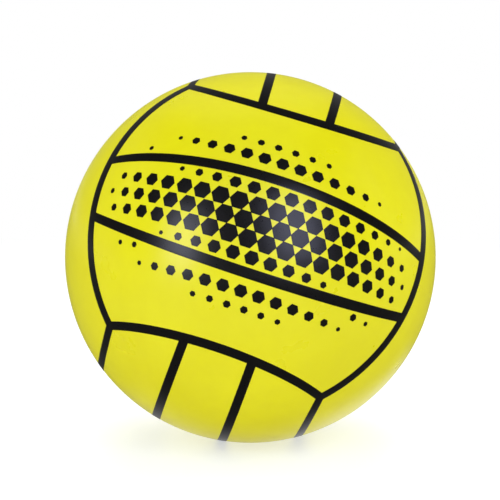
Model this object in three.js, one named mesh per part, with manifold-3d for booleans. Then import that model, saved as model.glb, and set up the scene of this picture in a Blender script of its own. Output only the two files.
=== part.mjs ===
// Playground ball with a volleyball line print: a one-piece vinyl skin, the ink lines on its outside,
// a moulded valve boss in the back of the skin and a push-in valve plug.
// Millimetres, +Z up, origin at the centre of the ball.
// In the ball's own axes the front of the print faces -Y, its strips run along X and the valve faces +Y.

import Module from 'manifold-3d';
import * as THREE from 'three';
import { mergeVertices } from 'three/addons/utils/BufferGeometryUtils.js';

// Ball skin
const BALL_DIAMETER = 220;
const SKIN_THICKNESS = 0.6;
const FACETS_ROUND = 44;
const FACETS_POLE_TO_POLE = 24;

// How the ball lies, in degrees
const ROLL = 19.5; // clockwise, seen from the front
const TIP = 20; // front of the print raised
const TURN = 4; // front of the print turned to the right

// Ink of the line print
const LINE_WIDTH = 5.4;
const LINE_LAP = 0.3; // share of its width that a line runs on past its end, to close the corners
const INK_THICKNESS = 0.2;
const INK_GAP = 0.1;

// Widths of the front and back faces' lines at the start, in the middle and at the end: the print stretches
const TOP_WIDTHS = [5.6, 6.8, 6.3];
const BOTTOM_WIDTHS = [5.3, 6, 5.3];
const UPRIGHT_WIDTHS = [9.8, 7.1, 6.7]; // left and right edges, from the top down
const STRIP_WIDTHS = [5.1, 6.1, 5.5];

// Marks of the print, in degrees round to the right from the front and degrees up from the middle
const TOP_LEFT = [-54.5, 43.5];
const TOP_RIGHT = [56.5, 48];
const BOTTOM_RIGHT = [49.5, -42];
const BOTTOM_LEFT = [-50.5, -41.5];
const TOP_MIDDLE = [0, 38.8];
const BOTTOM_MIDDLE = [0, -39.5];
const LEFT_MIDDLE = [-59.5, 0];
const RIGHT_MIDDLE = [59, 0];
const LEFT_EDGE_RISE = 55; // height of a top or bottom face's side edge, halfway to the back
const RIGHT_EDGE_RISE = 57;
const STRIP_MIDDLES = [13.5, -15.2]; // height of the front face's two inner lines in the middle
const CREST_MIDDLES = [-12, 9.5]; // lean of the top and bottom faces' inner lines, halfway to the back

// Where each pair of inner lines ends, as shares of the length of the line that it ends on
const LEFT_ENDS = [0.405, 0.61];
const RIGHT_ENDS = [0.412, 0.622];
const TOP_ENDS = [0.363, 0.609];
const BOTTOM_ENDS = [0.362, 0.635];

// Valve plug, with a flat head and a tapered pin
const HEAD_DIAMETER = 8;
const HEAD_THICKNESS = 1.2;
const HEAD_EDGE = 0.3; // bevel round the head
const HEAD_RECESS = 0.3; // depth of the head below the skin's outside
const PIN_DIAMETER = 3;
const PIN_TIP_DIAMETER = 2.2;
const PIN_LENGTH = 11;
const PIN_NOSE_DIAMETER = 1.1;
const PIN_NOSE_LENGTH = 0.8;

// Valve boss, with a counterbore for the head, a bore for the pin, a flange inside the skin and a stem
const FACE_RECESS = 0.2; // depth of the boss's face below the skin's outside
const NECK_WALL = 1.7;
const FLANGE_OVERLAP = 4.7;
const FLANGE_THICKNESS = 1.2;
const STEM_WALL = 2.2;
const STEM_BEYOND_PIN = 2;
const FACETS_VALVE = 32;

// Clearances
const HEAD_CLEARANCE = 0.3;
const PIN_CLEARANCE = 0.2;
const NECK_CLEARANCE = 0.3;
const SEAT_GAP = 0.3;

// The middles of the two sides, in degrees round from the front
const LEFT_SIDE = -90;
const RIGHT_SIDE = 90;

// Which of the top and bottom faces a line lies on
const UP = 1;
const DOWN = -1;

const { degToRad } = THREE.MathUtils;
const plainWidths = [LINE_WIDTH, LINE_WIDTH, LINE_WIDTH];
const ballRadius = BALL_DIAMETER / 2;
const skinInnerRadius = ballRadius - SKIN_THICKNESS;
const counterboreRadius = HEAD_DIAMETER / 2 + HEAD_CLEARANCE;
const boreRadius = PIN_DIAMETER / 2 + PIN_CLEARANCE;
const neckRadius = counterboreRadius + NECK_WALL;
const valveHoleRadius = neckRadius + NECK_CLEARANCE;
const flangeRadius = valveHoleRadius + FLANGE_OVERLAP;
const headTop = ballRadius - HEAD_RECESS;
const headUnderside = headTop - HEAD_THICKNESS;

const wasm = await Module();
wasm.setup();

// A closed geometry as a solid that can be joined and cut
function solidOf(geometry) {
  const bare = new THREE.BufferGeometry();
  bare.setAttribute('position', geometry.getAttribute('position'));
  bare.setIndex(geometry.getIndex());
  const merged = mergeVertices(bare);
  const corners = merged.getIndex().array;
  const triangles = [];
  for (let i = 0; i < corners.length; i += 3) {
    const [a, b, c] = corners.slice(i, i + 3);
    // A facet that a lathe collapses to a line at its pole has two equal corners
    if (a !== b && b !== c && c !== a) {
      triangles.push(a, b, c);
    }
  }
  return new wasm.Manifold(new wasm.Mesh({
    numProp: 3,
    vertProperties: merged.getAttribute('position').array,
    triVerts: new Uint32Array(triangles),
  }));
}

function geometryOf(solid) {
  const { vertProperties, triVerts } = solid.getMesh();
  const geometry = new THREE.BufferGeometry();
  geometry.setAttribute('position', new THREE.BufferAttribute(vertProperties, 3));
  geometry.setIndex(new THREE.BufferAttribute(triVerts, 1));
  geometry.computeVertexNormals();
  return geometry;
}

// A point of a revolved profile on a sphere about the ball's centre, at a distance from the valve axis
function onSphere(radius, fromAxis) {
  return new THREE.Vector2(fromAxis, Math.sqrt(radius ** 2 - fromAxis ** 2));
}

// A hollow sphere about the valve axis, open at the valve hole; every such layer shares its facet angles
function ballLayer(innerRadius, outerRadius) {
  const holeAngle = Math.asin(valveHoleRadius / ballRadius);
  const outside = [];
  const inside = [];
  for (let i = 0; i <= FACETS_POLE_TO_POLE; i += 1) {
    const angle = THREE.MathUtils.lerp(Math.PI, holeAngle, i / FACETS_POLE_TO_POLE);
    const fromAxis = i === 0 ? 0 : Math.sin(angle);
    outside.push(new THREE.Vector2(fromAxis * outerRadius, Math.cos(angle) * outerRadius));
    inside.unshift(new THREE.Vector2(fromAxis * innerRadius, Math.cos(angle) * innerRadius));
  }
  return new THREE.LatheGeometry([...outside, ...inside], FACETS_ROUND);
}

// A direction from the centre of the ball to a mark
function mark([round, up]) {
  const level = Math.cos(degToRad(up));
  return new THREE.Vector3(
    Math.sin(degToRad(round)) * level,
    -Math.cos(degToRad(round)) * level,
    Math.sin(degToRad(up)),
  );
}

// The print is the same on the back as on the front
function onFront(direction) {
  return direction;
}

function onBack(direction) {
  return new THREE.Vector3(direction.x, -direction.y, direction.z);
}

// The circle on a ball of radius 1 through three marks, walked from the first through the second to the last
function circleThrough(start, middle, end) {
  const normal = middle.clone().sub(start).cross(end.clone().sub(middle)).normalize();
  const height = normal.dot(start);
  const centre = normal.clone().multiplyScalar(height);
  const radius = Math.sqrt(1 - height ** 2);
  const across = start.clone().sub(centre).normalize();
  const along = normal.clone().cross(across);
  const last = end.clone().sub(centre);
  const turn = Math.atan2(last.dot(along), last.dot(across));
  const sweep = turn > 0 ? turn : turn + 2 * Math.PI;
  return { normal, height, radius, across, along, sweep };
}

// The point at a share of a circle's length and at a distance over the ball to the side of its normal
function pointBeside(circle, share, distance) {
  const angle = circle.sweep * share;
  const rise = Math.asin(circle.height) + distance / ballRadius;
  return circle.normal.clone().multiplyScalar(Math.sin(rise))
    .addScaledVector(circle.across, Math.cos(rise) * Math.cos(angle))
    .addScaledVector(circle.along, Math.cos(rise) * Math.sin(angle));
}

function pointOn(circle, share) {
  return pointBeside(circle, share, 0);
}

// A printed line along a circle, with its widths at the start, in the middle and at the end
function lineThrough(start, middle, end, widths = plainWidths) {
  return { ...circleThrough(start, middle, end), widths };
}

// An edge of a line, the circle through the points half a width beside it
function edgeOf(line, side) {
  return circleThrough(...line.widths.map((width, i) => pointBeside(line, i / 2, side * width / 2)));
}

// The edges and inner lines of the front face, or of the back face
function faceLines(onSide) {
  const [topLeft, topRight, bottomRight, bottomLeft] = [TOP_LEFT, TOP_RIGHT, BOTTOM_RIGHT, BOTTOM_LEFT]
    .map((place) => onSide(mark(place)));
  const top = lineThrough(topLeft, onSide(mark(TOP_MIDDLE)), topRight, TOP_WIDTHS);
  const bottom = lineThrough(bottomLeft, onSide(mark(BOTTOM_MIDDLE)), bottomRight, BOTTOM_WIDTHS);
  const left = lineThrough(topLeft, onSide(mark(LEFT_MIDDLE)), bottomLeft, UPRIGHT_WIDTHS);
  const right = lineThrough(topRight, onSide(mark(RIGHT_MIDDLE)), bottomRight, UPRIGHT_WIDTHS);
  const strips = STRIP_MIDDLES.map((up, i) => lineThrough(
    pointOn(left, LEFT_ENDS[i]),
    onSide(mark([0, up])),
    pointOn(right, RIGHT_ENDS[i]),
    STRIP_WIDTHS,
  ));
  return { top, bottom, left, right, strips };
}

// A line that runs from a place on the front to the same place on the back
function lineToBack(start, middle) {
  return lineThrough(start, middle, onBack(start));
}

// The side edge of the top or bottom face, from a corner of the front face to the back
function sideEdge(corner, side, rise) {
  return lineToBack(mark(corner), mark([side, rise]));
}

// The inner lines of the top face or the bottom face
function crestLines(frontEdge, ends, upOrDown) {
  return CREST_MIDDLES.map((lean, i) => lineToBack(
    pointOn(frontEdge, ends[i]),
    new THREE.Vector3(Math.sin(degToRad(lean)), 0, upOrDown * Math.cos(degToRad(lean))),
  ));
}

// The side faces have no inner lines
function printLines() {
  const front = faceLines(onFront);
  const back = faceLines(onBack);
  return [
    ...Object.values(front).flat(),
    ...Object.values(back).flat(),
    sideEdge(TOP_LEFT, LEFT_SIDE, LEFT_EDGE_RISE),
    sideEdge(TOP_RIGHT, RIGHT_SIDE, RIGHT_EDGE_RISE),
    sideEdge(BOTTOM_LEFT, LEFT_SIDE, -LEFT_EDGE_RISE),
    sideEdge(BOTTOM_RIGHT, RIGHT_SIDE, -RIGHT_EDGE_RISE),
    ...crestLines(front.top, TOP_ENDS, UP),
    ...crestLines(front.bottom, BOTTOM_ENDS, DOWN),
  ];
}

// A slab between the two edges of the line, spread as a sector over its length
function lineSlab(line) {
  const [startLap, , endLap] = line.widths.map((width) => width * LINE_LAP / (line.radius * ballRadius));
  const sector = new THREE.Shape();
  sector.moveTo(0, 0);
  sector.absarc(0, 0, BALL_DIAMETER, -startLap, line.sweep + endLap, false);
  sector.lineTo(0, 0);
  const slab = new THREE.ExtrudeGeometry(sector, { depth: BALL_DIAMETER, bevelEnabled: false });
  slab.translate(0, 0, line.height * ballRadius - ballRadius);
  slab.applyMatrix4(new THREE.Matrix4().makeBasis(line.across, line.along, line.normal));
  const lower = edgeOf(line, -1);
  const upper = edgeOf(line, 1);
  return solidOf(slab)
    .trimByPlane(lower.normal.toArray(), lower.height * ballRadius)
    .trimByPlane(upper.normal.clone().negate().toArray(), -upper.height * ballRadius);
}

// The ink is a thin layer over the skin, kept only where a line runs
function linePrint() {
  const inkInside = ballRadius + INK_GAP;
  const ink = solidOf(ballLayer(inkInside, inkInside + INK_THICKNESS));
  const slabs = printLines().map(lineSlab);
  return geometryOf(ink.intersect(slabs.reduce((all, slab) => all.add(slab))));
}

function valveBoss() {
  const faceRadius = ballRadius - FACE_RECESS;
  const seatRadius = skinInnerRadius - SEAT_GAP;
  const counterboreFloor = headUnderside - SEAT_GAP;
  const stemEnd = headUnderside - PIN_LENGTH - STEM_BEYOND_PIN;
  const flangeDrop = new THREE.Vector2(0, -FLANGE_THICKNESS);
  const profile = [
    new THREE.Vector2(boreRadius, stemEnd),
    new THREE.Vector2(boreRadius + STEM_WALL, stemEnd),
    onSphere(seatRadius, neckRadius).add(flangeDrop),
    onSphere(seatRadius, flangeRadius).add(flangeDrop),
    onSphere(seatRadius, flangeRadius),
    onSphere(seatRadius, neckRadius),
    onSphere(faceRadius, neckRadius),
    onSphere(faceRadius, counterboreRadius),
    new THREE.Vector2(counterboreRadius, counterboreFloor),
    new THREE.Vector2(boreRadius, counterboreFloor),
    new THREE.Vector2(boreRadius, stemEnd),
  ];
  return new THREE.LatheGeometry(profile, FACETS_VALVE);
}

function valvePlug() {
  const headRadius = HEAD_DIAMETER / 2;
  const pinEnd = headUnderside - PIN_LENGTH;
  const profile = [
    new THREE.Vector2(0, pinEnd),
    new THREE.Vector2(PIN_NOSE_DIAMETER / 2, pinEnd),
    new THREE.Vector2(PIN_TIP_DIAMETER / 2, pinEnd + PIN_NOSE_LENGTH),
    new THREE.Vector2(PIN_DIAMETER / 2, headUnderside),
    new THREE.Vector2(headRadius, headUnderside),
    new THREE.Vector2(headRadius, headTop - HEAD_EDGE),
    new THREE.Vector2(headRadius - HEAD_EDGE, headTop),
    new THREE.Vector2(0, headTop),
  ];
  return new THREE.LatheGeometry(profile, FACETS_VALVE);
}

const yellowVinyl = new THREE.MeshStandardMaterial({ color: 0xe9e729, roughness: 0.38, metalness: 0 });
const blackInk = new THREE.MeshStandardMaterial({ color: 0x151311, roughness: 0.45, metalness: 0 });
const softVinyl = new THREE.MeshStandardMaterial({ color: 0xded52c, roughness: 0.5, metalness: 0 });
const whitePlastic = new THREE.MeshStandardMaterial({ color: 0xeceae2, roughness: 0.4, metalness: 0 });

function piece(name, geometry, material) {
  const mesh = new THREE.Mesh(geometry, material);
  mesh.name = name;
  return mesh;
}

const ball = new THREE.Group();
ball.rotation.set(degToRad(-TIP), degToRad(ROLL), degToRad(TURN), 'ZXY');
ball.add(
  piece('ball_shell', ballLayer(skinInnerRadius, ballRadius), yellowVinyl),
  piece('line_print', linePrint(), blackInk),
  piece('valve_boss', valveBoss(), softVinyl),
  piece('valve_plug', valvePlug(), whitePlastic),
);

export default ball;
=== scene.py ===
# Looks of a playground ball with a volleyball line print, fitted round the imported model.
# Metres, +Z up, origin at the centre of the ball.
# In the ball's own axes the front of the print faces -Y, its strips run along X and the valve faces +Y.

import math
from functools import cache, partial
from typing import NamedTuple

import bmesh
import bpy
import numpy as np
from mathutils import Matrix, Vector


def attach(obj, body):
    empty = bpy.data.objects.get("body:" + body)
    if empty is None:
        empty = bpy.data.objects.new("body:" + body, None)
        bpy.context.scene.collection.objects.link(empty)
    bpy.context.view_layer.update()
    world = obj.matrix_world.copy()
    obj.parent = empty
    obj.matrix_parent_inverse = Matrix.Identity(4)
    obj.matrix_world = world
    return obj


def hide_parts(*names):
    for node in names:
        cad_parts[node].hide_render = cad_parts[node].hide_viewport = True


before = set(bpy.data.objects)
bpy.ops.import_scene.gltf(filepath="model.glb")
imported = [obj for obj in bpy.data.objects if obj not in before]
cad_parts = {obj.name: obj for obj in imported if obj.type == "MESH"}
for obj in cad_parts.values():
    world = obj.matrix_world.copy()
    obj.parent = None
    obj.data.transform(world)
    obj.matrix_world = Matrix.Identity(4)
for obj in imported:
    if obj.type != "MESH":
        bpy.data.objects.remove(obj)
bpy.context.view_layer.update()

MM = 0.001
TAU = 2 * math.pi
WHITE = (1, 1, 1, 1)

# Ball skin
BALL_RADIUS = max(corner.co.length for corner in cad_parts["ball_shell"].data.vertices)
SKIN_THICKNESS = 0.6 * MM
SKIN_FACETS_ROUND = 192
SKIN_RINGS = 120
SKIN_SHARP_FROM = 50  # degrees between two facets, from which their edge stays sharp

# How the ball lies, in degrees
ROLL = 19.5  # clockwise, seen from the front
TIP = 20  # front of the print raised
TURN = 4  # front of the print turned to the right

# Ink of the line print
PLAIN_WIDTHS = (5.4, 5.4, 5.4)  # in mm, at the start, in the middle and at the end
LINE_LAP = 0.3  # share of its width that a line runs on past its end, to close the corners
INK_LIFT = 0.015 * MM  # clear of the skin's facets
INK_THICKNESS = 0.045 * MM
INK_SHOULDER = 0.35 * MM  # width over which the ink thins out at its edge
INK_CUTS = 63  # cuts along each edge of the cube that the film of ink begins as
INK_CUT_MARGIN = 5 * MM  # reach of the cuts beside and beyond a line
INK_CUT_TOLERANCE = 1e-7  # as a share of the ball's radius
INK_SHARP_FROM = 40

# Widths in mm of the front and back faces' lines at their start, middle and end, since the print stretches
TOP_WIDTHS = (5.6, 6.8, 6.3)
BOTTOM_WIDTHS = (5.3, 6, 5.3)
UPRIGHT_WIDTHS = (9.8, 7.1, 6.7)  # left and right edges, from the top down
STRIP_WIDTHS = (5.1, 6.1, 5.5)

# Marks of the print, in degrees round to the right from the front and degrees up from the middle
TOP_LEFT = (-54.5, 43.5)
TOP_RIGHT = (56.5, 48)
BOTTOM_RIGHT = (49.5, -42)
BOTTOM_LEFT = (-50.5, -41.5)
TOP_MIDDLE = (0, 38.8)
BOTTOM_MIDDLE = (0, -39.5)
LEFT_MIDDLE = (-59.5, 0)
RIGHT_MIDDLE = (59, 0)
LEFT_EDGE_RISE = 55  # height of a top or bottom face's side edge, halfway to the back
RIGHT_EDGE_RISE = 57
STRIP_MIDDLES = (13.5, -15.2)  # height of the front face's two inner lines in the middle
CREST_MIDDLES = (-12, 9.5)  # lean of the top and bottom faces' inner lines, halfway to the back
LEFT_SIDE = -90
RIGHT_SIDE = 90
UP = 1
DOWN = -1

# Where each pair of inner lines ends, as shares of the length of the line that it ends on
LEFT_ENDS = (0.405, 0.61)
RIGHT_ENDS = (0.412, 0.622)
TOP_ENDS = (0.363, 0.609)
BOTTOM_ENDS = (0.362, 0.635)

# Honeycomb printed over the strips of the front face, largest in its middle
CELL_PITCH = 11 * MM
CELL_LARGEST = 10 * MM  # across the flats
CELL_SMALLEST = 1.6 * MM
CELL_SIDES = 6
CELL_RINGS = 2  # from a cell's middle to its edge, so that it bends with the ball
CORNER_TO_FLAT = math.sqrt(3) / 2  # of a cell whose corners are one from its middle
HONEYCOMB_UP = -1.6 * MM  # of the middle of the face
HONEYCOMB_REACH = 104 * MM  # half length, along the strips
HONEYCOMB_RISE = 52 * MM  # half height, across the strips
HONEYCOMB_COLUMNS = 21
HONEYCOMB_ROWS = 11
CLEAR_OF_LINES = 4.2 * MM  # from the middle of a strip's line

# Valve plug
HEAD_RADIUS = 4 * MM
HEAD_THICKNESS = 1.2 * MM
HEAD_RECESS = 0.3 * MM
HEAD_ROUNDING = 0.35 * MM
HEAD_DISH_RADIUS = 2.4 * MM
HEAD_DISH_FLOOR_RADIUS = 1.9 * MM
HEAD_DISH_DEPTH = 0.25 * MM
PIN_RADIUS = 1.5 * MM
PIN_TIP_RADIUS = 1.1 * MM
PIN_NOSE_RADIUS = 0.55 * MM
PIN_NOSE_LENGTH = 0.8 * MM
PIN_LENGTH = 11 * MM

# Valve boss
FACE_RECESS = 0.2 * MM
NECK_RADIUS = 6 * MM
COUNTERBORE_RADIUS = 4.3 * MM
BORE_RADIUS = 1.7 * MM
FLANGE_RADIUS = 11 * MM
FLANGE_THICKNESS = 1.2 * MM
STEM_WALL = 2.2 * MM
STEM_BEYOND_PIN = 2 * MM
SEAT_GAP = 0.3 * MM
BOSS_ROUNDING = 0.25 * MM
VALVE_FACETS_ROUND = 64
VALVE_SHARP_FROM = 40

# Lip of the skin round the valve boss
LIP_RADIUS = 6.15 * MM
LIP_ROUNDING = 0.3 * MM
LIP_DIMPLE_RADIUS = 13 * MM
LIP_DIMPLE_DEPTH = 0.3 * MM
LIP_RINGS = 10

# Turned pieces
ROUNDING_STEPS = 4  # facets round an eased corner
SEAM_MERGE = 0.001 * MM


class Noise(NamedTuple):
    """Noise that a finish follows: about how large its features are, and how fine and strong its detail is"""

    size: float
    detail: float
    roughness: float = 0.5


# Each spread below is a range of a pattern, and then the range that it becomes

# Yellow vinyl of the skin
VINYL_IOR = 1.54  # of the ink and the valve too
LEMON_DEEP = (0.80, 0.78, 0.004, 1)
LEMON_LIGHT = (0.84, 0.83, 0.006, 1)
LEMON_DULL = (0.77, 0.735, 0.005, 1)
SKIN_CLOUDS = Noise(60 * MM, 3)
SKIN_CLOUD_SPREAD = (0.35, 0.65, 0, 1)
SKIN_MOTTLE = Noise(9 * MM, 4, 0.6)
SKIN_MOTTLE_SPREAD = (0.35, 0.75, 0, 0.35)
SKIN_STREAKS = Noise(5 * MM, 3)
SKIN_STREAK_SPREAD = (0.55, 0.8, 0, 0.3)
SKIN_STREAK_STRETCH = (1, 1, 0.12)
SKIN_SHEEN = Noise(22 * MM, 4)
SKIN_ROUGHNESS_SPREAD = (0.3, 0.7, 0.27, 0.33)
SKIN_PEEL = Noise(3.2 * MM, 2)
SKIN_PEEL_DEPTH = 0.012 * MM
SKIN_GRAIN = Noise(0.7 * MM, 1)
SKIN_GRAIN_DEPTH = 0.004 * MM
SPECK_COLOUR = (0.12, 0.10, 0.02, 1)
SPECK_SPACING = 26 * MM
SPECK_SPREAD = (0.004, 0.016, 0.7, 0)  # from a speck's middle, as shares of the spacing
SPECKLESS_SHARE = 0.85  # share of the places for a speck that have none

# Black ink
INK_BLACK = (0.0026, 0.0023, 0.0019, 1)
INK_GREY = (0.0046, 0.0042, 0.0036, 1)
INK_FRINGE = (0.075, 0.055, 0.008, 1)
INK_FRINGE_SPREAD = (0, 0.7, 0.75, 0)  # over the share of the ink's full thickness
INK_GRAIN = Noise(0.9 * MM, 3, 0.65)
INK_GRAIN_SPREAD = (0.35, 0.7, 0, 1)
INK_GRAIN_DEPTH = 0.008 * MM
INK_ROUGHNESS_SPREAD = (0.3, 0.7, 0.27, 0.33)
INK_WEAR = Noise(14 * MM, 4)
INK_WEAR_SPREAD = (0.5, 0.8, 0, 0.5)

# Soft vinyl of the boss
BOSS_DEEP = (0.66, 0.58, 0.022, 1)
BOSS_LIGHT = (0.73, 0.66, 0.03, 1)
BOSS_CLOUDS = Noise(4 * MM, 4, 0.6)
BOSS_CLOUD_SPREAD = (0.3, 0.7, 0, 1)
BOSS_ROUGHNESS_SPREAD = (0.3, 0.7, 0.45, 0.58)
BOSS_GRAIN = Noise(0.5 * MM, 2)
BOSS_GRAIN_DEPTH = 0.006 * MM

# White plastic of the plug
PLUG_WHITE = (0.80, 0.79, 0.745, 1)
PLUG_GRIME = (0.62, 0.60, 0.53, 1)
PLUG_DIRT = Noise(3 * MM, 5, 0.6)
PLUG_DIRT_SPREAD = (0.45, 0.8, 0, 0.6)
PLUG_ROUGHNESS_SPREAD = (0.3, 0.7, 0.38, 0.5)
PLUG_GRAIN = Noise(0.35 * MM, 2)
PLUG_GRAIN_DEPTH = 0.005 * MM

# Camera, from the ball's outline in the 500 x 500 photograph
PHOTO_SIDE = 500
SENSOR_WIDTH = 36
OUTLINE_RADIUS = 185.4
OUTLINE_RIGHT = 0.37  # of the middle of the photograph
OUTLINE_DOWN = 7.43
CAMERA_ELEVATION = 10  # degrees
CAMERA_DISTANCE = 12 * BALL_RADIUS

# Key lamps: name, degrees round to the right from the front, degrees up, width and height, watts, colour
KEY_DISTANCE = 1.4
KEY_LAMPS = (
    ("right_softbox", 28.3, 26, (0.64, 0.9), 6.0, (0.70, 0.72, 1.0)),
    ("left_softbox", -42, 16.6, (0.45, 0.82), 4.8, (0.80, 0.82, 1.0)),
)

# Fill lamps: name, degrees round to the right from the front, degrees up, watts
FILL_DISTANCE = 2.2
FILL_SIZE = (1.8, 1.8)
FILL_COLOUR = (1.0, 0.945, 0.88)
FILL_LAMPS = (
    ("front_fill", 0, 38, 16.5),
    ("right_fill", 110, 20, 25),
    ("left_fill", -110, 20, 19.5),
    ("back_fill", 180, 50, 30),
    ("top_fill", 0, 90, 7),
)

# Floor and room, with the distances from the ball over which the floor changes
FLOOR_SIDE = 16
FLOOR_SQUARES = 8  # along a side
FLOOR_COLOUR = (0.62, 0.64, 0.7, 1)
FLOOR_GLOW = 0.56
FLOOR_GLOW_COLOUR = (0.9, 0.93, 1.0, 1)
FLOOR_TO_WHITE = (0.3, 0.75)
FLOOR_BOUNCE = 0.4  # light that the floor throws up at the ball
FLOOR_BOUNCE_COLOUR = (1.0, 0.86, 0.5, 1)
FLOOR_BOUNCE_FADE = (0.45, 1.125)
ROOM_LIGHT = 0.07

# Card on the floor that the gloss shows, and the distances from the ball's middle over which it changes
CARD_HOLE = 0.012  # radius, where the ball stands
CARD_LIFT = 0.5 * MM
CARD_FRONT = 0.08
CARD_BEHIND = 0.12
CARD_FRONT_TO_BACK = (-0.05, 0.15)
CARD_FOOT_LEFT = 0.5  # brightness round the ball's foot
CARD_FOOT_RIGHT = 0.85
CARD_LEFT_TO_RIGHT = (0, 0.06)
FOOT_LEFT_EDGE = (-0.11, -0.04)
FOOT_FRONT_EDGE = (-0.06, -0.02)
FOOT_SLANT = 1.27  # slope of the edge at the front on the right
FOOT_SLANTED_EDGE = (-0.155, -0.1)
FOOT_OUTER_EDGE = (0.16, 0.24)

# Tent over the lamps that the gloss shows
TENT_RADIUS = 3.5
TENT_FACETS_ROUND = 64
TENT_RINGS = 32
TENT_FRONT = 0.05
TENT_BEHIND = 0.18
TENT_FRONT_TO_BACK = (0.4, 0.95)  # as shares of the radius

head_top = BALL_RADIUS - HEAD_RECESS
head_underside = head_top - HEAD_THICKNESS
lie = (
    Matrix.Rotation(math.radians(TURN), 4, "Z")
    @ Matrix.Rotation(math.radians(-TIP), 4, "X")
    @ Matrix.Rotation(math.radians(ROLL), 4, "Y")
)


# Node helpers

def add(tree, kind, inputs=None, **settings):
    """A node with its settings, and with its inputs linked or given a value"""
    node = tree.nodes.new(kind)
    for name, value in settings.items():
        setattr(node, name, value)
    for key, value in (inputs or {}).items():
        if isinstance(value, bpy.types.NodeSocket):
            tree.links.new(value, node.inputs[key])
        else:
            node.inputs[key].default_value = value
    return node


def maths(tree, operation, *values):
    return add(tree, "ShaderNodeMath", dict(enumerate(values)), operation=operation).outputs[0]


def vector_maths(tree, operation, *values):
    return add(tree, "ShaderNodeVectorMath", dict(enumerate(values)), operation=operation).outputs


def split(tree, vector):
    """The three parts of a vector"""
    return add(tree, "ShaderNodeSeparateXYZ", {0: vector}).outputs


def joined(tree, *parts):
    """A vector of three parts"""
    return add(tree, "ShaderNodeCombineXYZ", dict(enumerate(parts))).outputs[0]


def between(tree, value, low, high, to_low, to_high):
    """A value spread from one range to another, without leaving it"""
    inputs = {0: value, 1: low, 2: high, 3: to_low, 4: to_high}
    return add(tree, "ShaderNodeMapRange", inputs).outputs[0]


def blend(tree, share, first, second):
    """A colour between two others"""
    # The node's colour sockets share their names with its other sockets, so they go by number
    inputs = {0: share, 6: first, 7: second}
    return add(tree, "ShaderNodeMix", inputs, data_type="RGBA").outputs[2]


def new_tree(name, inputs, output):
    """A Geometry Nodes tree with named inputs, and its input and output nodes"""
    tree = bpy.data.node_groups.new(name, "GeometryNodeTree")
    for label, kind in inputs.items():
        tree.interface.new_socket(label, in_out="INPUT", socket_type="NodeSocket" + kind)
    tree.interface.new_socket(output, in_out="OUTPUT", socket_type="NodeSocketGeometry")
    given = tree.nodes.new("NodeGroupInput").outputs
    result = tree.nodes.new("NodeGroupOutput").inputs[0]
    return tree, given, result


def end_tree(tree, geometry, finish, result):
    """Ends a tree in real geometry with its finish"""
    real = add(tree, "GeometryNodeRealizeInstances", {0: geometry}).outputs[0]
    finished = add(tree, "GeometryNodeSetMaterial", {"Geometry": real, "Material": finish}).outputs[0]
    tree.links.new(finished, result)


def position(tree):
    return add(tree, "GeometryNodeInputPosition").outputs[0]


def moved_to(tree, geometry, places):
    return add(tree, "GeometryNodeSetPosition", {"Geometry": geometry, "Position": places}).outputs[0]


def store(tree, geometry, name, value, kind="FLOAT"):
    """Geometry that keeps a value on each of its points"""
    inputs = {"Geometry": geometry, "Name": name, "Value": value}
    return add(tree, "GeometryNodeStoreNamedAttribute", inputs, data_type=kind, domain="POINT").outputs[0]


def stored(tree, name, kind="FLOAT"):
    return add(tree, "GeometryNodeInputNamedAttribute", {"Name": name}, data_type=kind).outputs[0]


# Mesh helpers

def made_by(tree, name, mesh, values):
    """A piece made from a mesh by a tree, as a plain mesh"""
    piece = bpy.data.objects.new(name, mesh)
    bpy.context.collection.objects.link(piece)
    modifier = piece.modifiers.new(tree.name, "NODES")
    modifier.node_group = tree
    for item in tree.interface.items_tree:
        if item.in_out == "INPUT" and item.name in values:
            modifier[item.identifier] = values[item.name]
    evaluated = piece.evaluated_get(bpy.context.evaluated_depsgraph_get())
    finished = bpy.data.meshes.new_from_object(evaluated)
    piece.modifiers.clear()
    piece.data = finished
    finished.name = name
    return piece


def worked_piece(name, shape, finish):
    """A piece from a shape that was worked face by face"""
    mesh = bpy.data.meshes.new(name)
    shape.to_mesh(mesh)
    shape.free()
    mesh.materials.append(finish)
    piece = bpy.data.objects.new(name, mesh)
    bpy.context.collection.objects.link(piece)
    return piece


def lay(mesh, sharp_from):
    """Turns a mesh from the ball's own axes to how the ball lies, and smooths it up to an angle"""
    mesh.transform(lie)
    mesh.polygons.foreach_set("use_smooth", [True] * len(mesh.polygons))
    mesh.set_sharp_from_angle(angle=math.radians(sharp_from))
    mesh.update()


# Finishes

def new_finish(name):
    """A material with its shader and the place on the piece that its patterns follow"""
    material = bpy.data.materials.new(name)
    material.use_nodes = True
    tree = material.node_tree
    shader = tree.nodes["Principled BSDF"]
    shader.inputs["IOR"].default_value = VINYL_IOR
    place = tree.nodes.new("ShaderNodeTexCoord").outputs["Object"]
    return material, tree, shader, place


def set_finish(tree, shader, colour, roughness, normal):
    tree.links.new(colour, shader.inputs["Base Color"])
    tree.links.new(roughness, shader.inputs["Roughness"])
    tree.links.new(normal, shader.inputs["Normal"])


def noise(tree, place, pattern):
    inputs = {
        "Vector": place,
        "Scale": 1 / pattern.size,
        "Detail": pattern.detail,
        "Roughness": pattern.roughness,
    }
    return add(tree, "ShaderNodeTexNoise", inputs).outputs["Fac"]


def bumps(tree, height, depth, below=None):
    """A surface with bumps of a depth, on top of other bumps if there are any"""
    inputs = {"Height": height, "Strength": 1.0, "Distance": depth}
    if below is not None:
        inputs["Normal"] = below
    return add(tree, "ShaderNodeBump", inputs).outputs["Normal"]


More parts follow.
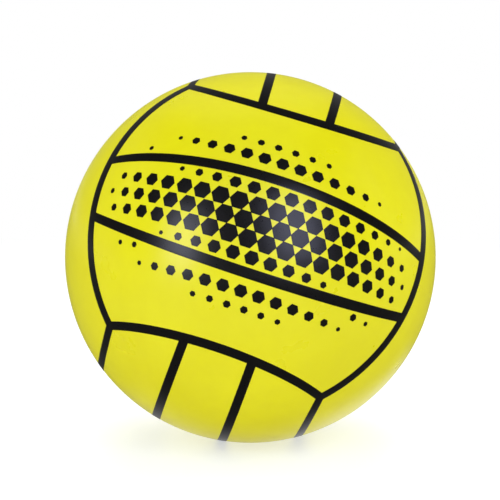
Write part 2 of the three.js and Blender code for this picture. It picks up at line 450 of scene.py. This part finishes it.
def specks(tree, place):
    """How strongly a speck shows: one near the middle of some cells of a loose pattern"""
    cells = add(tree, "ShaderNodeTexVoronoi", {"Vector": place, "Scale": 1 / SPECK_SPACING}).outputs
    drawn = add(tree, "ShaderNodeSeparateColor", {0: cells["Color"]}).outputs[0]
    near = between(tree, cells["Distance"], *SPECK_SPREAD)
    return maths(tree, "MULTIPLY", near, maths(tree, "GREATER_THAN", drawn, SPECKLESS_SHARE))


def vinyl_skin():
    """Yellow soft vinyl, satin, a little cloudy, with faint flow streaks and a few specks"""
    material, tree, shader, place = new_finish("vinyl_skin")
    clouds = between(tree, noise(tree, place, SKIN_CLOUDS), *SKIN_CLOUD_SPREAD)
    mottle = between(tree, noise(tree, place, SKIN_MOTTLE), *SKIN_MOTTLE_SPREAD)
    stretched = add(tree, "ShaderNodeMapping", {"Vector": place, "Scale": SKIN_STREAK_STRETCH}).outputs[0]
    streaks = between(tree, noise(tree, stretched, SKIN_STREAKS), *SKIN_STREAK_SPREAD)
    colour = blend(tree, clouds, LEMON_DEEP, LEMON_LIGHT)
    colour = blend(tree, mottle, colour, LEMON_DULL)
    colour = blend(tree, streaks, colour, LEMON_LIGHT)
    colour = blend(tree, specks(tree, place), colour, SPECK_COLOUR)
    roughness = between(tree, noise(tree, place, SKIN_SHEEN), *SKIN_ROUGHNESS_SPREAD)
    peel = bumps(tree, noise(tree, place, SKIN_PEEL), SKIN_PEEL_DEPTH)
    grain = bumps(tree, noise(tree, place, SKIN_GRAIN), SKIN_GRAIN_DEPTH, peel)
    set_finish(tree, shader, colour, roughness, grain)
    return material


def printed_ink(name, thickness_named=None):
    """Satin black ink, finely grained, and brownish where a named thickness runs out"""
    material, tree, shader, place = new_finish(name)
    grain = noise(tree, place, INK_GRAIN)
    wear = between(tree, noise(tree, place, INK_WEAR), *INK_WEAR_SPREAD)
    colour = blend(tree, between(tree, grain, *INK_GRAIN_SPREAD), INK_BLACK, INK_GREY)
    colour = blend(tree, wear, colour, INK_GREY)
    if thickness_named:
        thickness = add(tree, "ShaderNodeAttribute", attribute_name=thickness_named).outputs["Fac"]
        colour = blend(tree, between(tree, thickness, *INK_FRINGE_SPREAD), colour, INK_FRINGE)
    roughness = between(tree, grain, *INK_ROUGHNESS_SPREAD)
    set_finish(tree, shader, colour, roughness, bumps(tree, grain, INK_GRAIN_DEPTH))
    return material


def boss_vinyl():
    """The boss's softer vinyl, deeper in colour and duller than the skin"""
    material, tree, shader, place = new_finish("boss_vinyl")
    clouds = noise(tree, place, BOSS_CLOUDS)
    colour = blend(tree, between(tree, clouds, *BOSS_CLOUD_SPREAD), BOSS_DEEP, BOSS_LIGHT)
    roughness = between(tree, clouds, *BOSS_ROUGHNESS_SPREAD)
    grain = bumps(tree, noise(tree, place, BOSS_GRAIN), BOSS_GRAIN_DEPTH)
    set_finish(tree, shader, colour, roughness, grain)
    return material


def plug_plastic():
    """White moulded plastic, matt, with fine mould texture and a little grime"""
    material, tree, shader, place = new_finish("plug_plastic")
    dirt = noise(tree, place, PLUG_DIRT)
    colour = blend(tree, between(tree, dirt, *PLUG_DIRT_SPREAD), PLUG_WHITE, PLUG_GRIME)
    roughness = between(tree, dirt, *PLUG_ROUGHNESS_SPREAD)
    grain = bumps(tree, noise(tree, place, PLUG_GRAIN), PLUG_GRAIN_DEPTH)
    set_finish(tree, shader, colour, roughness, grain)
    return material


# Pieces turned about the valve axis

@cache
def turning_tree():
    """Turns a profile, x from the axis and y along it, about the valve axis, by bending a flat grid round"""
    inputs = {"Profile": "Geometry", "Facets round": "Int", "Finish": "Material"}
    tree, given, result = new_tree("Turn about the valve axis", inputs, "Turned piece")
    calc = partial(maths, tree)
    points = add(tree, "GeometryNodeAttributeDomainSize", {0: given["Profile"]}).outputs["Point Count"]
    columns = calc("ADD", given["Facets round"], 1)
    sizes = {"Size X": 1, "Size Y": 1, "Vertices X": columns, "Vertices Y": points}
    grid = add(tree, "GeometryNodeMeshGrid", sizes).outputs["Mesh"]
    from_middle_x, from_middle_y, _ = split(tree, position(tree))
    turn = calc("MULTIPLY", calc("ADD", from_middle_x, 0.5), TAU)
    step = calc("MULTIPLY", calc("ADD", from_middle_y, 0.5), calc("SUBTRACT", points, 1))
    on_profile = add(tree, "GeometryNodeSampleIndex", {
        "Geometry": given["Profile"],
        "Value": position(tree),
        "Index": calc("ROUND", step),
    }, data_type="FLOAT_VECTOR", domain="POINT").outputs[0]
    out, along, _ = split(tree, on_profile)
    turned = joined(
        tree,
        calc("MULTIPLY", out, calc("COSINE", turn)),
        along,
        calc("MULTIPLY", out, calc("SINE", turn)),
    )
    bent = moved_to(tree, grid, turned)
    closed = add(tree, "GeometryNodeMergeByDistance", {"Geometry": bent, "Distance": SEAM_MERGE}).outputs[0]
    end_tree(tree, closed, given["Finish"], result)
    return tree


def turned_piece(name, profile, facets, finish, sharp_from):
    """A piece turned from a profile of points, each its distance from the axis and its height along it"""
    mesh = bpy.data.meshes.new(name + "_profile")
    links = [(i, i + 1) for i in range(len(profile) - 1)]
    mesh.from_pydata([(across, along, 0) for across, along in profile], links, [])
    piece = made_by(turning_tree(), name, mesh, {"Facets round": facets, "Finish": finish})
    lay(piece.data, sharp_from)
    return piece


def eased(corners, rounding):
    """A profile with its inner corners rounded, as far as their sides allow"""
    points = [corners[0]]
    for before, corner, after in zip(corners, corners[1:], corners[2:]):
        before, corner, after = Vector(before), Vector(corner), Vector(after)
        reach = min(rounding, (before - corner).length / 2, (after - corner).length / 2)
        start = corner + (before - corner).normalized() * reach
        end = corner + (after - corner).normalized() * reach
        for i in range(ROUNDING_STEPS + 1):
            share = i / ROUNDING_STEPS
            bend = start.lerp(corner, share).lerp(corner.lerp(end, share), share)
            points.append(tuple(bend))
    points.append(corners[-1])
    return points


def on_ball(radius, across):
    """A profile point on a sphere about the ball's centre"""
    return across, math.sqrt(radius ** 2 - across ** 2)


def skin_wall(radius):
    """One side of the skin, from the front to the lip, which dips softly into the valve's dimple"""
    last = math.asin(LIP_DIMPLE_RADIUS / BALL_RADIUS)
    points = []
    for i in range(SKIN_RINGS + 1):
        angle = math.pi + (last - math.pi) * i / SKIN_RINGS
        across = radius * math.sin(angle) if i else 0
        points.append((across, radius * math.cos(angle)))
    for i in range(1, LIP_RINGS + 1):
        share = i / LIP_RINGS
        across = LIP_DIMPLE_RADIUS + (LIP_RADIUS - LIP_DIMPLE_RADIUS) * share
        dip = LIP_DIMPLE_DEPTH * share * share * (3 - 2 * share)
        points.append(on_ball(radius - dip, across))
    return points


def skin_profile():
    """Inside from the front to the lip of the valve hole, round the lip and back over the outside"""
    inside = skin_wall(BALL_RADIUS - SKIN_THICKNESS)
    outside = skin_wall(BALL_RADIUS)
    lip = eased([inside[-2], inside[-1], outside[-1], outside[-2]], LIP_ROUNDING)
    return inside[:-2] + lip + outside[-3::-1]


def ball_skin():
    piece = turned_piece("ball_skin", skin_profile(), SKIN_FACETS_ROUND, vinyl_skin(), SKIN_SHARP_FROM)
    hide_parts("ball_shell")
    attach(piece, "ball")


def valve_seat():
    """The boss: a stem with the bore, a flange inside the skin and a neck with the plug's counterbore"""
    seat = BALL_RADIUS - SKIN_THICKNESS - SEAT_GAP
    face = BALL_RADIUS - FACE_RECESS
    floor = head_underside - SEAT_GAP
    stem_end = head_underside - PIN_LENGTH - STEM_BEYOND_PIN
    neck_foot = on_ball(seat, NECK_RADIUS)
    flange_edge = on_ball(seat, FLANGE_RADIUS)
    middle = (BORE_RADIUS, (stem_end + floor) / 2)
    corners = [
        middle,
        (BORE_RADIUS, floor),
        (COUNTERBORE_RADIUS, floor),
        on_ball(face, COUNTERBORE_RADIUS),
        on_ball(face, NECK_RADIUS),
        neck_foot,
        flange_edge,
        (flange_edge[0], flange_edge[1] - FLANGE_THICKNESS),
        (neck_foot[0], neck_foot[1] - FLANGE_THICKNESS),
        (BORE_RADIUS + STEM_WALL, stem_end),
        (BORE_RADIUS, stem_end),
        middle,
    ]
    profile = eased(corners, BOSS_ROUNDING)
    piece = turned_piece("valve_seat", profile, VALVE_FACETS_ROUND, boss_vinyl(), VALVE_SHARP_FROM)
    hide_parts("valve_boss")
    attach(piece, "ball")


def valve_stopper():
    """The plug: a flat head with a shallow dish, and a tapered pin with a blunt nose"""
    pin_end = head_underside - PIN_LENGTH
    corners = [
        (0, head_top - HEAD_DISH_DEPTH),
        (HEAD_DISH_FLOOR_RADIUS, head_top - HEAD_DISH_DEPTH),
        (HEAD_DISH_RADIUS, head_top),
        (HEAD_RADIUS, head_top),
        (HEAD_RADIUS, head_underside),
        (PIN_RADIUS, head_underside),
        (PIN_TIP_RADIUS, pin_end + PIN_NOSE_LENGTH),
        (PIN_NOSE_RADIUS, pin_end),
        (0, pin_end),
    ]
    profile = eased(corners, HEAD_ROUNDING)
    piece = turned_piece("valve_stopper", profile, VALVE_FACETS_ROUND, plug_plastic(), VALVE_SHARP_FROM)
    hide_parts("valve_plug")
    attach(piece, "plug")


# Line print

class BallCircle:
    """The circle on a ball of radius one through three marks, walked from the first to the last"""

    def __init__(self, start, middle, end):
        normal = np.cross(middle - start, end - middle)
        self.normal = normal / np.linalg.norm(normal)
        self.rise = math.asin(self.normal @ start)
        self.radius = math.cos(self.rise)
        self.across = (start - self.normal * math.sin(self.rise)) / self.radius
        self.along = np.cross(self.normal, self.across)
        self.sweep = float(self.turn(end))

    def turn(self, points):
        return np.arctan2(points @ self.along, points @ self.across) % TAU

    def towards(self, turn):
        return self.across * math.cos(turn) + self.along * math.sin(turn)

    def beside(self, share, distance):
        """The point at a share of the length, and at a distance over the ball to the side of the normal"""
        rise = self.rise + distance / BALL_RADIUS
        return self.normal * math.sin(rise) + self.towards(self.sweep * share) * math.cos(rise)

    def point(self, share):
        return self.beside(share, 0)

    def above(self, points):
        """How far directions lie to the side of the normal, as a length on the ball"""
        return (np.arcsin(points @ self.normal) - self.rise) * BALL_RADIUS

    def plane(self, distance):
        """The plane of the circle at a distance over the ball to the side of the normal"""
        return self.normal * math.sin(self.rise + distance / BALL_RADIUS), self.normal


class PrintLine(BallCircle):
    """A printed line along a circle, between two edges that are circles too"""

    def __init__(self, start, middle, end, widths=PLAIN_WIDTHS):
        super().__init__(start, middle, end)
        length_per_turn = self.radius * BALL_RADIUS
        self.start_lap, _, self.end_lap = (width * MM * LINE_LAP / length_per_turn for width in widths)
        self.lower = BallCircle(*(self.beside(i / 2, -width * MM / 2) for i, width in enumerate(widths)))
        self.upper = BallCircle(*(self.beside(i / 2, width * MM / 2) for i, width in enumerate(widths)))

    def depth(self, points):
        """How far inside the edges and ends of the line directions lie, as a length on the ball"""
        centre = self.sweep / 2
        past_centre = (self.turn(points) - centre + math.pi) % TAU - math.pi
        inside_ends = np.minimum(centre + self.start_lap + past_centre, centre + self.end_lap - past_centre)
        inside_edges = np.minimum(self.lower.above(points), -self.upper.above(points))
        return np.minimum(inside_edges, inside_ends * self.radius * BALL_RADIUS)

    def cuts(self):
        """The planes along the line's edges, along the shoulders inside them and across its ends"""
        for inwards in (0, INK_SHOULDER):
            yield self.lower.plane(inwards)
            yield self.upper.plane(-inwards)
        for turn in (-self.start_lap, self.sweep + self.end_lap):
            yield np.zeros(3), self.towards(turn + math.pi / 2)


def mark(place):
    """The direction from the centre of the ball to a mark"""
    round_right, up = (math.radians(angle) for angle in place)
    level = math.cos(up)
    return np.array((math.sin(round_right) * level, -math.cos(round_right) * level, math.sin(up)))


def on_front(direction):
    return direction


def on_back(direction):
    return direction * (1, -1, 1)


def face_lines(on_side):
    """The edges and inner lines of the front face, or of the back face"""
    corners = [on_side(mark(place)) for place in (TOP_LEFT, TOP_RIGHT, BOTTOM_RIGHT, BOTTOM_LEFT)]
    top_left, top_right, bottom_right, bottom_left = corners
    top = PrintLine(top_left, on_side(mark(TOP_MIDDLE)), top_right, TOP_WIDTHS)
    bottom = PrintLine(bottom_left, on_side(mark(BOTTOM_MIDDLE)), bottom_right, BOTTOM_WIDTHS)
    left = PrintLine(top_left, on_side(mark(LEFT_MIDDLE)), bottom_left, UPRIGHT_WIDTHS)
    right = PrintLine(top_right, on_side(mark(RIGHT_MIDDLE)), bottom_right, UPRIGHT_WIDTHS)
    strips = [
        PrintLine(left.point(left_end), on_side(mark((0, up))), right.point(right_end), STRIP_WIDTHS)
        for left_end, up, right_end in zip(LEFT_ENDS, STRIP_MIDDLES, RIGHT_ENDS)
    ]
    return top, bottom, left, right, *strips


def line_to_back(start, middle):
    return PrintLine(start, middle, on_back(start))


def side_edge(corner, side, rise):
    """The side edge of the top or bottom face, from a corner of the front face to the back"""
    return line_to_back(mark(corner), mark((side, rise)))


def crest_lines(front_edge, ends, up_or_down):
    """The inner lines of the top face or the bottom face"""
    for end, lean in zip(ends, CREST_MIDDLES):
        lean = math.radians(lean)
        middle = np.array((math.sin(lean), 0, up_or_down * math.cos(lean)))
        yield line_to_back(front_edge.point(end), middle)


def print_lines():
    """All the lines of the print; the side faces have no inner ones"""
    front = face_lines(on_front)
    top, bottom, *_ = front
    return [
        *front,
        *face_lines(on_back),
        side_edge(TOP_LEFT, LEFT_SIDE, LEFT_EDGE_RISE),
        side_edge(TOP_RIGHT, RIGHT_SIDE, RIGHT_EDGE_RISE),
        side_edge(BOTTOM_LEFT, LEFT_SIDE, -LEFT_EDGE_RISE),
        side_edge(BOTTOM_RIGHT, RIGHT_SIDE, -RIGHT_EDGE_RISE),
        *crest_lines(top, TOP_ENDS, UP),
        *crest_lines(bottom, BOTTOM_ENDS, DOWN),
    ]


def quad_ball():
    """A ball of radius one in even quads, from a cube"""
    ball = bmesh.new()
    bmesh.ops.create_cube(ball, size=2)
    bmesh.ops.subdivide_edges(ball, edges=ball.edges[:], cuts=INK_CUTS, use_grid_fill=True)
    for corner in ball.verts:
        corner.co = Vector(math.tan(place * math.pi / 4) for place in corner.co).normalized()
    return ball


def directions(points):
    places = np.array(points)
    return places / np.linalg.norm(places, axis=1, keepdims=True)


def face_directions(ball):
    return directions([face.calc_center_median() for face in ball.faces])


def depth_in_ink(lines, places):
    """How far inside the ink directions lie, and below zero where there is none"""
    return np.max([line.depth(places) for line in lines], axis=0)


def cut_along(ball, line):
    """Cuts the faces near a line along its edges, shoulders and ends"""
    ball.faces.ensure_lookup_table()
    depth = line.depth(face_directions(ball))
    near = [ball.faces[i] for i in np.flatnonzero(depth > -INK_CUT_MARGIN)]
    edges = {edge for face in near for edge in face.edges}
    corners = {corner for face in near for corner in face.verts}
    pieces = [*near, *edges, *corners]
    for place, across in line.cuts():
        cut = bmesh.ops.bisect_plane(
            ball, geom=pieces, dist=INK_CUT_TOLERANCE, plane_co=place, plane_no=across,
        )
        pieces = cut["geom"]


def inked_film(lines):
    """A fine ball cut along every line, and kept where there is ink"""
    film = quad_ball()
    for line in lines:
        cut_along(film, line)
    inked = depth_in_ink(lines, face_directions(film)) > 0
    bare = [face for face, ink in zip(film.faces, inked) if not ink]
    bmesh.ops.delete(film, geom=bare, context="FACES")
    return film


def thicken(film, lines, thickness_name):
    """Gives the film its thickness, which runs out at its edges, and closes it underneath"""
    places = directions([corner.co for corner in film.verts])
    shares = np.clip(depth_in_ink(lines, places) / INK_SHOULDER, 0, 1)
    thickness = film.verts.layers.float.new(thickness_name)
    for corner, place, share in zip(film.verts, places, shares):
        corner.co = place
        corner[thickness] = share
    underside = film.verts[:]
    rim = [edge.link_loops[0] for edge in film.edges if edge.is_boundary]
    above = bmesh.ops.duplicate(film, geom=film.faces[:])["vert_map"]
    for side in rim:
        start, end = side.vert, side.link_loop_next.vert
        film.faces.new((start, end, above[end], above[start]))
    for corner in underside:
        above[corner].co *= BALL_RADIUS + INK_LIFT + INK_THICKNESS * corner[thickness]
        corner.co *= BALL_RADIUS + INK_LIFT / 2
    bmesh.ops.recalc_face_normals(film, faces=film.faces[:])


def line_ink():
    """The ink film of the whole line print"""
    lines = print_lines()
    film = inked_film(lines)
    thicken(film, lines, "ink_thickness")
    piece = worked_piece("line_ink", film, printed_ink("line_ink", "ink_thickness"))
    lay(piece.data, INK_SHARP_FROM)
    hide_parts("line_print")
    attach(piece, "ball")


# Honeycomb

def room_beside(tree, given, on_skin, line, line_rise):
    """The largest cell that stays clear of a strip's line, from the cell's middle to its corners"""
    calc = partial(maths, tree)
    radius = given["Ball radius"]
    along_normal = vector_maths(tree, "DOT_PRODUCT", on_skin, line)["Value"]
    rise = calc("ARCSINE", calc("DIVIDE", along_normal, radius))
    distance = calc("MULTIPLY", calc("ABSOLUTE", calc("SUBTRACT", rise, line_rise)), radius)
    return calc("MULTIPLY", calc("SUBTRACT", distance, given["Clear of lines"]), 2 * CORNER_TO_FLAT)


def cell_points(tree, given):
    """Points in staggered rows over the front of the ball, each with the size and the facing of its cell"""
    calc = partial(maths, tree)
    radius = given["Ball radius"]
    row_pitch = calc("MULTIPLY", given["Pitch"], CORNER_TO_FLAT)
    grid = add(tree, "GeometryNodeMeshGrid", {
        "Size X": calc("MULTIPLY", given["Pitch"], calc("SUBTRACT", given["Columns"], 1)),
        "Size Y": calc("MULTIPLY", row_pitch, calc("SUBTRACT", given["Rows"], 1)),
        "Vertices X": given["Columns"],
        "Vertices Y": given["Rows"],
    }).outputs["Mesh"]
    in_row, across_rows, _ = split(tree, position(tree))
    row = calc("ROUND", calc("DIVIDE", across_rows, row_pitch))
    odd_row = calc("MODULO", calc("ABSOLUTE", row), 2)
    along = calc("ADD", in_row, calc("MULTIPLY", odd_row, calc("DIVIDE", given["Pitch"], 2)))

    round_right = calc("DIVIDE", along, radius)
    height = calc("DIVIDE", calc("ADD", across_rows, given["Centre up"]), radius)
    level = calc("MULTIPLY", calc("COSINE", height), radius)
    on_skin = joined(
        tree,
        calc("MULTIPLY", calc("SINE", round_right), level),
        calc("MULTIPLY", calc("COSINE", round_right), calc("MULTIPLY", level, -1)),
        calc("MULTIPLY", calc("SINE", height), radius),
    )
    facing = joined(tree, calc("SUBTRACT", math.pi / 2, height), 0, round_right)

    out_along = calc("POWER", calc("DIVIDE", along, given["Reach"]), 2)
    out_across = calc("POWER", calc("DIVIDE", across_rows, given["Rise"]), 2)
    inwards = calc("MAXIMUM", calc("SUBTRACT", 1, calc("ADD", out_along, out_across)), 0)
    full_size = calc("MULTIPLY", given["Largest"], calc("SQRT", inwards))
    above = room_beside(tree, given, on_skin, given["Upper line"], given["Upper line rise"])
    below = room_beside(tree, given, on_skin, given["Lower line"], given["Lower line rise"])
    size = calc("MINIMUM", full_size, calc("MINIMUM", above, below))

    sized = store(tree, grid, "cell_size", size)
    turned = store(tree, sized, "cell_facing", facing, "FLOAT_VECTOR")
    return moved_to(tree, turned, on_skin)


def single_cell(tree):
    """A six-sided cell one across its flats and one thick, with its top marked"""
    cell = add(tree, "GeometryNodeMeshCylinder", {
        "Vertices": CELL_SIDES,
        "Side Segments": 1,
        "Fill Segments": CELL_RINGS,
        "Radius": 0.5 / CORNER_TO_FLAT,
        "Depth": 1,
    }, fill_type="TRIANGLE_FAN").outputs["Mesh"]
    _, _, height = split(tree, position(tree))
    return store(tree, cell, "cell_top", maths(tree, "GREATER_THAN", height, 0))


def set_cells(tree, given, points, cell):
    """A cell on every point whose cell isn't too small"""
    size = stored(tree, "cell_size")
    too_small = maths(tree, "LESS_THAN", size, given["Smallest"])
    kept = add(tree, "GeometryNodeDeleteGeometry", {"Geometry": points, "Selection": too_small}).outputs[0]
    facing = stored(tree, "cell_facing", "FLOAT_VECTOR")
    placed = add(tree, "GeometryNodeInstanceOnPoints", {
        "Points": kept,
        "Instance": cell,
        "Rotation": add(tree, "FunctionNodeEulerToRotation", {0: facing}).outputs[0],
        "Scale": joined(tree, size, size, given["Thickness"]),
    }).outputs[0]
    return add(tree, "GeometryNodeRealizeInstances", {0: placed}).outputs[0]


def wrap_cells(tree, given, cells):
    """The cells bent to lie on the skin, with their tops at the ink's thickness"""
    calc = partial(maths, tree)
    thickness = calc("MULTIPLY", stored(tree, "cell_top"), given["Thickness"])
    from_centre = calc("ADD", calc("ADD", given["Ball radius"], given["Lift"]), thickness)
    lengths = {0: vector_maths(tree, "NORMALIZE", position(tree))[0], "Scale": from_centre}
    wrapped = add(tree, "ShaderNodeVectorMath", lengths, operation="SCALE").outputs[0]
    return moved_to(tree, cells, wrapped)


def honeycomb_tree():
    """Six-sided cells in staggered rows over the front of the ball, which shrink away from the middle"""
    inputs = {
        "Ball radius": "Float",
        "Pitch": "Float",
        "Columns": "Int",
        "Rows": "Int",
        "Centre up": "Float",
        "Reach": "Float",
        "Rise": "Float",
        "Upper line": "Vector",
        "Upper line rise": "Float",
        "Lower line": "Vector",
        "Lower line rise": "Float",
        "Clear of lines": "Float",
        "Largest": "Float",
        "Smallest": "Float",
        "Lift": "Float",
        "Thickness": "Float",
        "Finish": "Material",
    }
    tree, given, result = new_tree("Printed honeycomb", inputs, "Cells")
    cells = set_cells(tree, given, cell_points(tree, given), single_cell(tree))
    end_tree(tree, wrap_cells(tree, given, cells), given["Finish"], result)
    return tree


def strip_honeycomb():
    """The honeycomb in and beside the front face's middle strip"""
    *_, upper_strip, lower_strip = face_lines(on_front)
    values = {
        "Ball radius": BALL_RADIUS,
        "Pitch": CELL_PITCH,
        "Columns": HONEYCOMB_COLUMNS,
        "Rows": HONEYCOMB_ROWS,
        "Centre up": HONEYCOMB_UP,
        "Reach": HONEYCOMB_REACH,
        "Rise": HONEYCOMB_RISE,
        "Upper line": upper_strip.normal.tolist(),
        "Upper line rise": upper_strip.rise,
        "Lower line": lower_strip.normal.tolist(),
        "Lower line rise": lower_strip.rise,
        "Clear of lines": CLEAR_OF_LINES,
        "Largest": CELL_LARGEST,
        "Smallest": CELL_SMALLEST,
        "Lift": INK_LIFT,
        "Thickness": INK_THICKNESS,
        "Finish": printed_ink("honeycomb_ink"),
    }
    piece = made_by(honeycomb_tree(), "strip_honeycomb", bpy.data.meshes.new("strip_honeycomb"), values)
    lay(piece.data, INK_SHARP_FROM)
    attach(piece, "ball")


# Studio

def photo_camera():
    """The photograph's camera, aimed so that the ball's outline falls where the photograph has it"""
    elevation = math.radians(CAMERA_ELEVATION)
    towards = Vector((0, -math.cos(elevation), math.sin(elevation)))
    up = Vector((0, math.sin(elevation), math.cos(elevation)))
    focal = OUTLINE_RADIUS * math.sqrt((CAMERA_DISTANCE / BALL_RADIUS) ** 2 - 1)
    pixel = CAMERA_DISTANCE / focal
    aim = up * OUTLINE_DOWN * pixel - Vector((1, 0, 0)) * OUTLINE_RIGHT * pixel
    camera = bpy.data.objects.new("photo_camera", bpy.data.cameras.new("photo_camera"))
    camera.data.sensor_width = SENSOR_WIDTH
    camera.data.lens = SENSOR_WIDTH * focal / PHOTO_SIDE
    camera.location = towards * CAMERA_DISTANCE
    camera.rotation_euler = (aim - camera.location).to_track_quat("-Z", "Y").to_euler()
    bpy.context.collection.objects.link(camera)
    bpy.context.scene.camera = camera


def softbox(name, round_right, up, distance, size, power, colour, in_gloss):
    """A soft lamp that faces the ball, placed by degrees round to the right from the front and degrees up"""
    lamp = bpy.data.lights.new(name, "AREA")
    lamp.shape = "RECTANGLE"
    lamp.size, lamp.size_y = size
    lamp.energy = power
    lamp.color = colour
    holder = bpy.data.objects.new(name, lamp)
    holder.location = Vector(mark((round_right, up))) * distance
    holder.rotation_euler = holder.location.to_track_quat("Z", "Y").to_euler()
    holder.visible_camera = False
    holder.visible_glossy = in_gloss
    bpy.context.collection.objects.link(holder)


def key_lamps():
    """Two tall softboxes, which leave the two soft highlights of the photograph"""
    for name, round_right, up, size, power, colour in KEY_LAMPS:
        softbox(name, round_right, up, KEY_DISTANCE, size, power, colour, in_gloss=True)


def fill_lamps():
    """Broad lamps all round, which light every side of the ball alike and leave no highlight"""
    for name, round_right, up, power in FILL_LAMPS:
        softbox(name, round_right, up, FILL_DISTANCE, FILL_SIZE, power, FILL_COLOUR, in_gloss=False)


def stage_finish(name):
    """An empty material for the studio, with the place that it follows; its glow isn't sampled as a lamp"""
    material = bpy.data.materials.new(name)
    material.use_nodes = True
    material.cycles.emission_sampling = "NONE"
    tree = material.node_tree
    tree.nodes.clear()
    place = add(tree, "ShaderNodeTexCoord").outputs["Object"]
    return material, tree, place


def glow(tree, strength, colour=WHITE):
    return add(tree, "ShaderNodeEmission", {"Color": colour, "Strength": strength}).outputs[0]


def seen_in_gloss(name, shape, brightness):
    """Something that only the ball's gloss shows, with a brightness worked out from the place on it"""
    material, tree, place = stage_finish(name)
    add(tree, "ShaderNodeOutputMaterial", {"Surface": glow(tree, brightness(tree, place))})
    piece = worked_piece(name, shape, material)
    piece.visible_camera = False
    piece.visible_diffuse = False
    piece.visible_transmission = False
    piece.visible_shadow = False


def card_brightness(tree, place):
    """Dark, a little paler behind the ball, and palest round its foot, most of all to the right"""
    calc = partial(maths, tree)
    right, back, _ = split(tree, place)
    away = vector_maths(tree, "LENGTH", place)["Value"]
    aslant = calc("MULTIPLY_ADD", right, -FOOT_SLANT, back)
    foot = between(tree, right, *FOOT_LEFT_EDGE, 0, 1)
    foot = calc("MULTIPLY", foot, between(tree, back, *FOOT_FRONT_EDGE, 0, 1))
    foot = calc("MULTIPLY", foot, between(tree, aslant, *FOOT_SLANTED_EDGE, 0, 1))
    foot = calc("MULTIPLY", foot, between(tree, away, *FOOT_OUTER_EDGE, 1, 0))
    pale = between(tree, right, *CARD_LEFT_TO_RIGHT, CARD_FOOT_LEFT, CARD_FOOT_RIGHT)
    dark = between(tree, back, *CARD_FRONT_TO_BACK, CARD_FRONT, CARD_BEHIND)
    return calc("MULTIPLY_ADD", foot, pale, dark)


def floor_card():
    """A card on the floor from the ball's foot out to the tent"""
    card = bmesh.new()
    for radius in (CARD_HOLE, TENT_RADIUS):
        bmesh.ops.create_circle(card, segments=TENT_FACETS_ROUND, radius=radius)
    bmesh.ops.bridge_loops(card, edges=card.edges[:])
    for corner in card.verts:
        corner.co.z = CARD_LIFT - BALL_RADIUS
    seen_in_gloss("floor_card", card, card_brightness)


def tent_brightness(tree, place):
    """Dark, and paler low at the back"""
    _, back, _ = split(tree, vector_maths(tree, "NORMALIZE", place)[0])
    return between(tree, back, *TENT_FRONT_TO_BACK, TENT_FRONT, TENT_BEHIND)


def grey_tent():
    """A tent over the lamps, down to the floor"""
    tent = bmesh.new()
    sizes = {"u_segments": TENT_FACETS_ROUND, "v_segments": TENT_RINGS, "radius": TENT_RADIUS}
    bmesh.ops.create_uvsphere(tent, **sizes)
    below = [corner for corner in tent.verts if corner.co.z < -BALL_RADIUS]
    bmesh.ops.delete(tent, geom=below, context="VERTS")
    seen_in_gloss("grey_tent", tent, tent_brightness)


def background_rays(tree):
    """One for rays that show a background: to the camera, in gloss and through what is clear"""
    rays = add(tree, "ShaderNodeLightPath").outputs
    in_or_through = maths(tree, "MAXIMUM", rays["Is Glossy Ray"], rays["Is Transmission Ray"])
    return maths(tree, "MAXIMUM", rays["Is Camera Ray"], in_or_through)


def white_floor():
    """A floor that keeps the ball's shadow, is white further off, and throws warm light up under the ball"""
    material, tree, place = stage_finish("white_floor")
    away = vector_maths(tree, "LENGTH", place)["Value"]
    seen = background_rays(tree)
    matt = add(tree, "ShaderNodeBsdfDiffuse", {"Color": FLOOR_COLOUR}).outputs[0]
    upward = between(tree, away, *FLOOR_BOUNCE_FADE, FLOOR_BOUNCE, 0)
    shine = add(tree, "ShaderNodeMixShader", {
        0: seen,
        1: glow(tree, upward, FLOOR_BOUNCE_COLOUR),
        2: glow(tree, FLOOR_GLOW, FLOOR_GLOW_COLOUR),
    }).outputs[0]
    near = add(tree, "ShaderNodeAddShader", {0: matt, 1: shine}).outputs[0]
    far = maths(tree, "MULTIPLY", between(tree, away, *FLOOR_TO_WHITE, 0, 1), seen)
    mixed = add(tree, "ShaderNodeMixShader", {0: far, 1: near, 2: glow(tree, 1)}).outputs[0]
    add(tree, "ShaderNodeOutputMaterial", {"Surface": mixed})
    return material


def studio_floor():
    floor = bmesh.new()
    bmesh.ops.create_grid(floor, x_segments=FLOOR_SQUARES, y_segments=FLOOR_SQUARES, size=FLOOR_SIDE / 2)
    for corner in floor.verts:
        corner.co.z = -BALL_RADIUS
    worked_piece("studio_floor", floor, white_floor())


def studio_world():
    """A dim room, which is white as a background"""
    world = bpy.data.worlds.new("studio_world")
    world.use_nodes = True
    tree = world.node_tree
    background = tree.nodes["Background"]
    background.inputs["Color"].default_value = WHITE
    strength = maths(tree, "MAXIMUM", ROOM_LIGHT, background_rays(tree))
    tree.links.new(strength, background.inputs["Strength"])
    bpy.context.scene.world = world


ball_skin()
line_ink()
strip_honeycomb()
valve_seat()
valve_stopper()
photo_camera()
key_lamps()
fill_lamps()
floor_card()
grey_tent()
studio_floor()
studio_world()
bpy.context.scene.view_settings.view_transform = "Standard"
